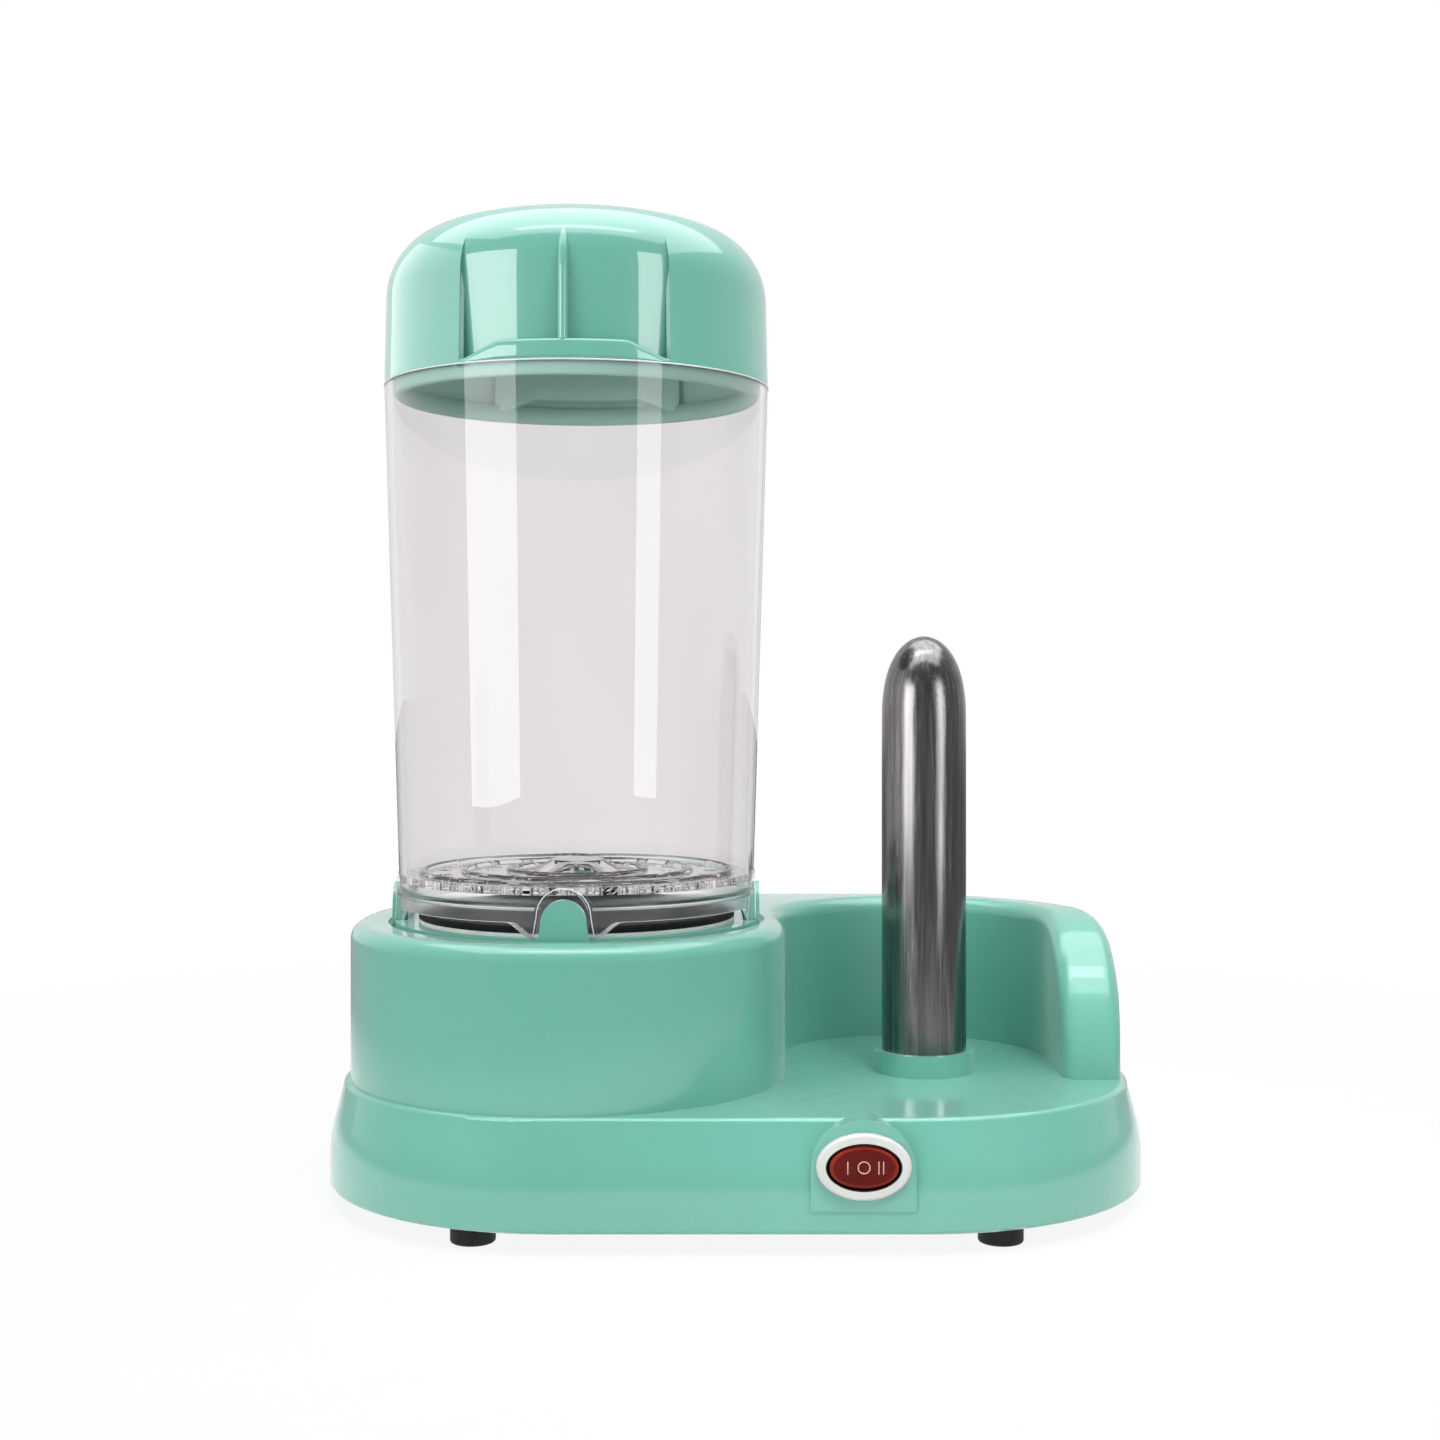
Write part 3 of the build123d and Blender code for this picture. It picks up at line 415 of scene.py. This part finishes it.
# domed lid: one moulded shell with a finger recess, a ledge and a fin front and back
lidSet = {
    "axis": (-0.0473, -0.0040), "rimZ": 0.2396, "height": 0.0515, "rimRadius": 0.0571, "draft": 0.0009,
    "crown": 0.140, "shoulder": 0.021, "wall": 0.0022, "columns": 400, "crease": 32,
    "recessDeep": 0.0043, "recessLean": 0.08, "recessHalf": 0.0290, "topSoft": 0.0026,
    "sideSoft": 0.00008, "sideSteps": (-2, -1, 1, 2), "sideClear": 2.2,
    "ledgeHigh": 0.0055, "ledgeLow": 0.0012, "ledgeHalf": 0.0177, "ledgeEnd": 0.0275,
    "ledgeRound": 0.0010, "ledgeGap": 0.0006,  # the round stays below ledgeLow
    "belowShares": (0, 0.25, 0.5, 0.7), "lipShares": (0, 0.25, 0.5, 0.75, 1), "topShares": (0.35, 0.7, 0.9, 1),
    "sideRows": 26, "shoulderRows": 40, "crownRows": 24, "fitSteps": 60,
}


def lidProfile():  # half outline of the dome, rim to crown, as (radius, height)
    rim, draft, crown, corner = (lidSet[k] for k in ("rimRadius", "draft", "crown", "shoulder"))
    crownBase = lidSet["height"] - crown
    sideTop = crownBase + math.sqrt(crown ** 2 - (rim - draft) ** 2)
    lean = math.atan2(draft, sideTop)
    low, high = 0.0, sideTop
    for step in range(lidSet["fitSteps"]):  # where the shoulder's circle fits between the side and the crown
        along = (low + high) / 2
        centre = (rim - along * math.sin(lean) - corner * math.cos(lean),
                  along * math.cos(lean) - corner * math.sin(lean))
        if math.hypot(centre[0], centre[1] - crownBase) < crown - corner:
            low = along
        else:
            high = along
    outline = []
    for i in range(lidSet["sideRows"]):
        reach = along * i / lidSet["sideRows"]
        outline.append((rim - reach * math.sin(lean), reach * math.cos(lean)))
    turnEnd = math.atan2(centre[1] - crownBase, centre[0])
    for i in range(lidSet["shoulderRows"] + 1):
        turn = lean + (turnEnd - lean) * i / lidSet["shoulderRows"]
        outline.append((centre[0] + corner * math.cos(turn), centre[1] + corner * math.sin(turn)))
    for i in range(1, lidSet["crownRows"]):
        turn = turnEnd + (math.pi / 2 - turnEnd) * i / lidSet["crownRows"]
        outline.append((crown * math.cos(turn), crownBase + crown * math.sin(turn)))
    return outline


def profileRadius(outline, height):
    for (r0, z0), (r1, z1) in zip(outline, outline[1:]):
        if z0 <= height <= z1:
            return r0 + (r1 - r0) * (height - z0) / (z1 - z0)
    return outline[-1][0]


def ledgeHeight(across):
    share = (abs(across) - lidSet["ledgeHalf"]) / (lidSet["ledgeEnd"] - lidSet["ledgeHalf"])
    share = min(max(share, 0), 1)
    return lidSet["ledgeHigh"] + (lidSet["ledgeLow"] - lidSet["ledgeHigh"]) * share


def inRecess(across):  # 1 between the side walls, 0 outside them
    half, soft = lidSet["recessHalf"], lidSet["sideSoft"]
    return 1 - smoothStep(half - soft, half + soft, abs(across))


def recessDepth(across, radius, height):  # how far back the surface lies; its top runs softly into the dome
    rim, soft = lidSet["rimRadius"], lidSet["topSoft"]
    deep = lidSet["recessDeep"] - lidSet["recessLean"] * (height - lidSet["ledgeHigh"])
    backWall = math.sqrt(max(rim ** 2 - across ** 2, 0)) - deep
    over = math.sqrt(max(radius ** 2 - across ** 2, 0)) - backWall
    if over <= -soft:
        return 0
    return (over if over >= soft else (over + soft) ** 2 / (4 * soft)) * inRecess(across)


def lidAngles():  # even columns, with finer ones across each side wall of the recesses
    rim, half, soft = lidSet["rimRadius"], lidSet["recessHalf"], lidSet["sideSoft"]
    angles = [a for a in fullTurn(lidSet["columns"])
              if abs(abs(rim * math.cos(a)) - half) > lidSet["sideClear"] * soft]
    for step in lidSet["sideSteps"]:
        turn = math.acos((half + soft * step) / rim)
        angles += [turn, math.pi - turn, math.pi + turn, 2 * math.pi - turn]
    return sorted(angles)


def makeLid():
    outline = lidProfile()
    angles = lidAngles()
    cx, cy = lidSet["axis"]
    soft, gap = lidSet["ledgeRound"], lidSet["ledgeGap"]
    sideEnd = outline[lidSet["sideRows"] - 1][1]
    rows = [("below", share) for share in lidSet["belowShares"]]
    rows += [("lip", share) for share in lidSet["lipShares"]]
    rows += [("top", share) for share in lidSet["topShares"]]
    rows += [("wall", i / lidSet["sideRows"]) for i in range(1, lidSet["sideRows"] + 1)]
    rows += [("dome", point) for point in outline[lidSet["sideRows"]:]]
    points = []
    for kind, value in rows:
        for angle in angles:
            across = lidSet["rimRadius"] * math.cos(angle)
            ledge = ledgeHeight(across)
            back = 0
            if kind == "below":
                height = (ledge - soft) * value
            elif kind == "lip":
                turn = value * math.pi / 2
                height = ledge - soft + soft * math.sin(turn)
                back = soft * (1 - math.cos(turn)) * inRecess(across)
            elif kind == "top":
                height = ledge + gap * value * (1 - inRecess(across))
                deep = recessDepth(across, profileRadius(outline, ledge), ledge)
                back = soft * inRecess(across) * (1 - value) + deep * value
            elif kind == "wall":
                height = ledge + gap + (sideEnd - ledge - gap) * value
                back = recessDepth(across, profileRadius(outline, height), height)
            else:
                height = value[1]
                back = recessDepth(across, value[0], height)
            radius = value[0] if kind == "dome" else profileRadius(outline, height)
            side = math.copysign(1, math.sin(angle))
            points.append((cx + radius * math.cos(angle), cy + radius * math.sin(angle) - side * back,
                           lidSet["rimZ"] + height))
    columns = len(angles)
    faces = ringFaces(len(rows), columns)
    points.append((cx, cy, lidSet["rimZ"] + lidSet["height"]))
    last = (len(rows) - 1) * columns
    faces += [(last + c, last + (c + 1) % columns, len(points) - 1) for c in range(columns)]
    shell = newPiece("lidShell", points, faces, [lidPlastic, lidInsidePaintedLight], "lid")
    shell.data.set_sharp_from_angle(angle=math.radians(lidSet["crease"]))
    thick = shell.modifiers.new("wall", "SOLIDIFY")
    thick.thickness = lidSet["wall"]
    thick.offset = -1
    # the inner faces take the paler copy of the plastic: painted light
    thick.material_offset = 1
    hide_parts("lid")
    makeLidLip()
    makeLidFins(outline)


lipSet = {"radius": 0.0545, "thick": 0.0027, "deep": 0.0040, "rise": 0.0012, "edge": 0.0005, "columns": 240}


def makeLidLip():  # plug ring that drops into the jar
    cx, cy = lidSet["axis"]
    outer, inner = lipSet["radius"], lipSet["radius"] - lipSet["thick"]
    low, high, edge = -lipSet["deep"], lipSet["rise"], lipSet["edge"]
    section = [(outer, high), (outer, low + edge), (outer - edge, low),
               (inner + edge, low), (inner, low + edge), (inner, high)]
    points = [(cx + r * math.cos(turn), cy + r * math.sin(turn), lidSet["rimZ"] + z)
              for r, z in section for turn in fullTurn(lipSet["columns"])]
    faces = ringFaces(len(section), lipSet["columns"], loop=True)
    # the plug ring also takes the paler copy of the plastic: painted light
    newPiece("lidLip", points, faces, [lidInsidePaintedLight], "lid")


finSet = {
    "half": 0.0013, "top": 0.0375, "root": 0.0012, "steps": 40,
    "roundShares": (-1, -0.8, -0.6, -0.35, 0, 0.35, 0.6, 0.8, 1),
}


def makeLidFins(outline):  # flush with the dome outside, rooted in the back wall
    cx, cy = lidSet["axis"]
    half, steps = finSet["half"], finSet["steps"]
    low, high = lidSet["ledgeHigh"] - lidSet["ledgeGap"], finSet["top"]
    across = [math.sin(share * math.pi / 2) for share in finSet["roundShares"]]
    columns = len(across) + 2
    for side, name in ((-1, "front"), (1, "back")):
        points = []
        for i in range(steps + 1):
            height = low + (high - low) * i / steps
            outer = profileRadius(outline, height)
            root = outer - recessDepth(0, outer, height) - finSet["root"]
            for share in across:
                inset = half * (1 - math.sqrt(max(1 - share * share, 0)))
                points.append((cx + share * half, cy + side * (outer - inset), lidSet["rimZ"] + height))
            for share in (1, -1):
                points.append((cx + share * half, cy + side * root, lidSet["rimZ"] + height))
        faces = ringFaces(steps + 1, columns) + endFaces(steps + 1, columns)
        newPiece("lidFin_" + name, points, faces, [lidPlastic], "lid")


makeLid()
print("lid done")

# rounded edge of the clear arch over each tab, as a pale tube whose colour is a painted highlight along the edge
archSet = {
    "reach": 0.0531, "footZ": 0.08180, "topZ": 0.09530, "halfLow": 0.00845, "halfTop": 0.0074,
    "thick": 0.00015, "turns": (-90, 0, 90, 180), "round": 10, "steps": 48,
    # pale colours: a painted highlight on the clear edge
    "darker": (216, 220, 221), "lighter": (230, 233, 234),
    "mottleScale": 60, "skinScale": 400, "skinStrength": 0.05, "skinDepth": 0.0002,
    "roughness": (0.12, 0.2), "sockets": {"Coat Weight": 0.5},
}
archEdgeHighlight = mouldedFinish("archEdgeHighlight", archSet)


def archPath():  # one arch from foot to foot, as (across, height)
    low, half, foot = archSet["halfLow"], archSet["halfTop"], archSet["footZ"]
    spring = archSet["topZ"] - half
    leg = [(low, foot), ((low + half) / 2, (foot + spring) / 2)]
    turns = [math.pi * i / archSet["steps"] for i in range(archSet["steps"] + 1)]
    bow = [(half * math.cos(turn), spring + half * math.sin(turn)) for turn in turns]
    return leg + bow + [(-across, z) for across, z in reversed(leg)]


def makeArchEdgeHighlights():
    path = archPath()
    around = archSet["round"]
    points, faces = [], []
    for turn in archSet["turns"]:
        start = len(points)
        out = Vector((math.cos(math.radians(turn)), math.sin(math.radians(turn)), 0))
        along = Vector((-out.y, out.x, 0))
        for i, (across, z) in enumerate(path):
            before, after = path[max(i - 1, 0)], path[min(i + 1, len(path) - 1)]
            slope = Vector((after[0] - before[0], after[1] - before[1])).normalized()
            aside = along * slope.y - Vector((0, 0, slope.x))
            centre = Vector((*lidSet["axis"], z)) + out * archSet["reach"] + along * across
            for angle in fullTurn(around):
                points.append(centre + (aside * math.cos(angle) + out * math.sin(angle)) * archSet["thick"])
        tube = ringFaces(len(path), around) + endFaces(len(path), around)
        faces += [tuple(start + v for v in face) for face in tube]
    newPiece("archEdgeHighlights", points, faces, [archEdgeHighlight], "jar")


rimSet = {"radius": 0.05705, "z": 0.23932, "thick": 0.00024, "round": 10, "columns": 360}


def makeJarRimHighlight():  # rounded top edge of the jar, just under the lid, in the pale finish: a painted reflection along the rim
    cx, cy = lidSet["axis"]
    points = []
    for angle in fullTurn(rimSet["round"]):
        reach = rimSet["radius"] + rimSet["thick"] * math.cos(angle)
        z = rimSet["z"] + rimSet["thick"] * math.sin(angle)
        points += [(cx + reach * math.cos(turn), cy + reach * math.sin(turn), z)
                   for turn in fullTurn(rimSet["columns"])]
    faces = ringFaces(rimSet["round"], rimSet["columns"], loop=True)
    newPiece("jarRimHighlight", points, faces, [archEdgeHighlight], "jar")


makeArchEdgeHighlights()
makeJarRimHighlight()
print("jar edges done")

# rocker: oval, dished along its length, with a bevelled rim painted lighter as a highlight
rockerSet = {
    "x": 0.0333, "z": 0.0240, "faceY": -0.0781, "halfWide": 0.0091, "halfHigh": 0.0057, "dip": 0.0012,
    "bevel": 0.0009, "drop": 0.0007, "back": 0.0060, "columns": 160,
    "faceShares": (0.12, 0.25, 0.4, 0.55, 0.7), "bevelShares": (0, 0.15, 0.4, 0.7, 0.9, 1),
}


def onRocker(x, z, depth):  # a point this far behind the dished face
    share = abs(x) / rockerSet["halfWide"]
    dip = rockerSet["dip"] * (1 - share * share)
    return (rockerSet["x"] + x, rockerSet["faceY"] + dip + depth, rockerSet["z"] + z)


def makeRocker():
    columns = rockerSet["columns"]
    wide, high, bevel = rockerSet["halfWide"], rockerSet["halfHigh"], rockerSet["bevel"]
    rows = [(wide * share, high * share, 0) for share in rockerSet["faceShares"]]
    rows += [(wide - bevel * (1 - share), high - bevel * (1 - share), rockerSet["drop"] * share ** 2)
             for share in rockerSet["bevelShares"]]
    points = [onRocker(halfWide * math.cos(angle), halfHigh * math.sin(angle), depth)
              for halfWide, halfHigh, depth in rows for angle in fullTurn(columns)]
    points += [(rockerSet["x"] + wide * math.cos(angle), rockerSet["faceY"] + rockerSet["back"],
                rockerSet["z"] + high * math.sin(angle)) for angle in fullTurn(columns)]
    faces = ringFaces(len(rows) + 1, columns) + endFaces(len(rows) + 1, columns)
    rocker = newPiece("rockerCap", points, faces, [rockerRed, rockerRimHighlight], "rocker")
    firstRim = len(rockerSet["faceShares"]) * columns
    # the bevel faces take the lighter red, a painted highlight
    for face in rocker.data.polygons[:-2]:  # all but the two end faces
        if firstRim <= min(face.vertices):
            face.material_index = 1
    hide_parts("switch_rocker")


markSet = {
    "thick": 0.00042, "high": 0.0034, "proud": 0.00006, "sunk": 0.0002, "flat": 0.6,
    "ring": 0.00155, "ringColumns": 64, "barRows": 7,
    "bars": {"markOne": -0.0043, "markTwoLeft": 0.0039, "markTwoRight": 0.0051},
}


def makeMarks():
    half, tall = markSet["thick"] / 2, markSet["high"] / 2
    flat, proud, sunk = half * markSet["flat"], -markSet["proud"], markSet["sunk"]
    section = [(-half, sunk), (-flat, proud), (flat, proud), (half, sunk)]
    rows = markSet["barRows"]
    for name, across in markSet["bars"].items():
        points = [onRocker(across + side, -tall + 2 * tall * i / (rows - 1), depth)
                  for i in range(rows) for side, depth in section]
        faces = ringFaces(rows, len(section)) + endFaces(rows, len(section))
        newPiece(name, points, faces, [markPaint], "rocker")
    points = [onRocker((markSet["ring"] + side) * math.cos(angle), (markSet["ring"] + side) * math.sin(angle), depth)
              for side, depth in section for angle in fullTurn(markSet["ringColumns"])]
    faces = ringFaces(len(section), markSet["ringColumns"], loop=True)
    newPiece("markOff", points, faces, [markPaint], "rocker")


makeRocker()
makeMarks()
print("rocker done")

# pale floor and white surround
floorSet = {
    "half": 4.0, "drop": 0.0002, "darker": (236, 236, 236), "lighter": (240, 240, 240),
    "paperScale": 40, "paperDetail": 3, "roughness": 0.9,
    "reach": (0.22, 0.60), "glow": (0.90, 1.0),  # whiter paper away from the object
    "mirrorReach": (0.22, 0.40), "mirrorGlow": (1.0, 0.25),  # and a darker mirror image of it
}
roomSet = {"ambient": 0.28, "front": (-1.0, 0.3), "mirrored": (0.2, 0.8), "sideDim": 0.7}


def rayKinds(tree):  # seen by the camera, straight or through the jar, and seen in a mirror image
    path = tree.nodes.new("ShaderNodeLightPath")
    eye = mathOf(tree, "MAXIMUM", path.outputs["Is Camera Ray"], path.outputs["Is Transmission Ray"])
    return eye, path.outputs["Is Glossy Ray"]


def mixShaders(tree, share, first, second):
    mix = tree.nodes.new("ShaderNodeMixShader")
    tree.links.new(share, mix.inputs["Fac"])
    tree.links.new(first.outputs[0], mix.inputs[1])
    tree.links.new(second.outputs[0], mix.inputs[2])
    return mix


def layFloor():
    half, low = floorSet["half"], -floorSet["drop"]
    corners = [(-half, -half, low), (half, -half, low), (half, half, low), (-half, half, low)]
    mesh = bpy.data.meshes.new("studioFloor")
    mesh.from_pydata(corners, [], [(0, 1, 2, 3)])
    floor = bpy.data.objects.new("studioFloor", mesh)
    scene.collection.objects.link(floor)
    finish, tree, shader = startFinish("floorPaper")
    points = objectPoints(tree)
    paper = noiseOf(tree, points, floorSet["paperScale"], floorSet["paperDetail"])
    tree.links.new(blendOf(tree, paper, floorSet["darker"], floorSet["lighter"]), shader.inputs["Base Color"])
    shader.inputs["Roughness"].default_value = floorSet["roughness"]
    distance = lengthOf(tree, points)
    fade = rangeOf(tree, distance, floorSet["reach"], floorSet["glow"])
    dim = rangeOf(tree, distance, floorSet["mirrorReach"], floorSet["mirrorGlow"])
    eye, mirrored = rayKinds(tree)
    glow = tree.nodes.new("ShaderNodeEmission")
    tree.links.new(mathOf(tree, "MAXIMUM", eye, dim), glow.inputs["Strength"])
    share = mathOf(tree, "MAXIMUM", mathOf(tree, "MULTIPLY", eye, fade), mirrored)
    mix = mixShaders(tree, share, shader, glow)
    tree.links.new(mix.outputs[0], tree.nodes["Material Output"].inputs["Surface"])
    mesh.materials.append(finish)


def whiteSurround():  # white to the eye, dimmer where the front and sides of the object mirror the room
    world = bpy.data.worlds.new("studioSurround")
    scene.world = world
    world.use_nodes = True
    tree = world.node_tree
    soft = tree.nodes["Background"]
    paper = tree.nodes.new("ShaderNodeBackground")
    room = tree.nodes.new("ShaderNodeBackground")
    for backdrop in (soft, paper, room):
        backdrop.inputs["Color"].default_value = (1, 1, 1, 1)
    soft.inputs["Strength"].default_value = roomSet["ambient"]
    split = splitOf(tree, "Generated")
    turn = tree.nodes.new("ShaderNodeMath")
    turn.operation = "MULTIPLY_ADD"
    turn.inputs[1].default_value = -roomSet["sideDim"]
    tree.links.new(mathOf(tree, "ABSOLUTE", split["X"]), turn.inputs[0])
    tree.links.new(split["Y"], turn.inputs[2])
    fade = rangeOf(tree, turn.outputs[0], roomSet["front"], roomSet["mirrored"])
    tree.links.new(fade, room.inputs["Strength"])
    eye, mirrored = rayKinds(tree)
    outer = mixShaders(tree, eye, mixShaders(tree, mirrored, soft, room), paper)
    tree.links.new(outer.outputs[0], tree.nodes["World Output"].inputs["Surface"])


layFloor()
whiteSurround()

# softboxes: place, aim, width, height, watts, seen in reflections, beam in degrees, groups lit (none: everything)
lampSet = {
    "leftStrip": ((-0.70, -0.62, 0.26), (-0.03, 0, 0.26), 0.52, 0.48, 3.6, True, 180, ("lid", "jar", "spike")),
    "leftSoft": ((-0.70, -0.62, 0.26), (-0.03, 0, 0.26), 0.52, 0.48, 3.4, False, 180, ("base",)),
    "leftWide": ((-1.05, 0.25, 0.56), (-0.03, 0, 0.40), 1.5, 0.9, 4.5, True, 180, ("lid",)),
    "leftBack": ((-1.05, 0.25, 0.56), (-0.03, 0, 0.40), 1.5, 0.9, 4.2, False, 180, ("jar", "spike", "base")),
    "rightStrip": ((0.62, -0.66, 0.26), (-0.03, 0, 0.26), 0.24, 0.48, 1.5, True, 180, ("lid", "jar", "spike")),
    "rightSoft": ((0.62, -0.66, 0.26), (-0.03, 0, 0.26), 0.24, 0.48, 1.1, False, 180, ("base",)),
    "rightFill": ((1.05, -0.10, 0.56), (-0.03, 0, 0.20), 1.2, 0.9, 1.5, False, 180, ()),
    "topStrip": ((-0.03, -0.32, 1.15), (-0.03, -0.03, 0.2), 0.9, 0.2, 1.8, True, 180, ()),
    "topWide": ((0.0, -0.05, 0.80), (0.0, 0.0, 0.05), 1.3, 0.9, 7.0, True, 180, ()),
    "bayFill": ((0.22, -0.50, 0.85), (0.055, 0.0, 0.04), 0.2, 0.2, 0.09, False, 22, ()),
}


def pieceGroup(piece):
    if piece.name.startswith("lid"):
        return "lid"
    return {parts["jar"]: "jar", parts["spike_tube"]: "spike"}.get(piece, "base")


def lightOnly(holder, groups):
    lit = bpy.data.collections.new(holder.name + "Lit")
    for piece in scene.objects:
        if piece.type == "MESH" and piece.name != "studioFloor" and pieceGroup(piece) in groups:
            lit.objects.link(piece)
    holder.light_linking.receiver_collection = lit


def hangLamps():
    for name, (place, aim, width, height, watts, mirrored, beam, groups) in lampSet.items():
        lamp = bpy.data.lights.new(name, "AREA")
        lamp.shape = "RECTANGLE"
        lamp.size = width
        lamp.size_y = height
        lamp.energy = watts
        lamp.spread = math.radians(beam)
        holder = bpy.data.objects.new(name, lamp)
        holder.location = place
        holder.rotation_euler = (Vector(aim) - Vector(place)).to_track_quat("-Z", "Y").to_euler()
        holder.visible_glossy = mirrored
        holder.visible_transmission = False  # not seen through the jar
        holder.visible_camera = False
        scene.collection.objects.link(holder)
        if groups:
            lightOnly(holder, groups)


hangLamps()

# camera at the photograph's angle
cameraSet = {
    "lens": 49.14, "sensor": 36, "clipStart": 0.01, "place": (-0.00457, -0.5934, 0.151), "shiftDown": 0.0246,
}


def setCamera():
    view = bpy.data.cameras.new("studioCamera")
    view.lens = cameraSet["lens"]
    view.sensor_width = cameraSet["sensor"]
    view.shift_y = -cameraSet["shiftDown"]
    view.clip_start = cameraSet["clipStart"]
    holder = bpy.data.objects.new("studioCamera", view)
    holder.location = cameraSet["place"]
    holder.rotation_euler = (math.pi / 2, 0, 0)
    scene.collection.objects.link(holder)
    scene.camera = holder


setCamera()
scene.view_settings.view_transform = "Standard"
print("floor, lamps and camera set")
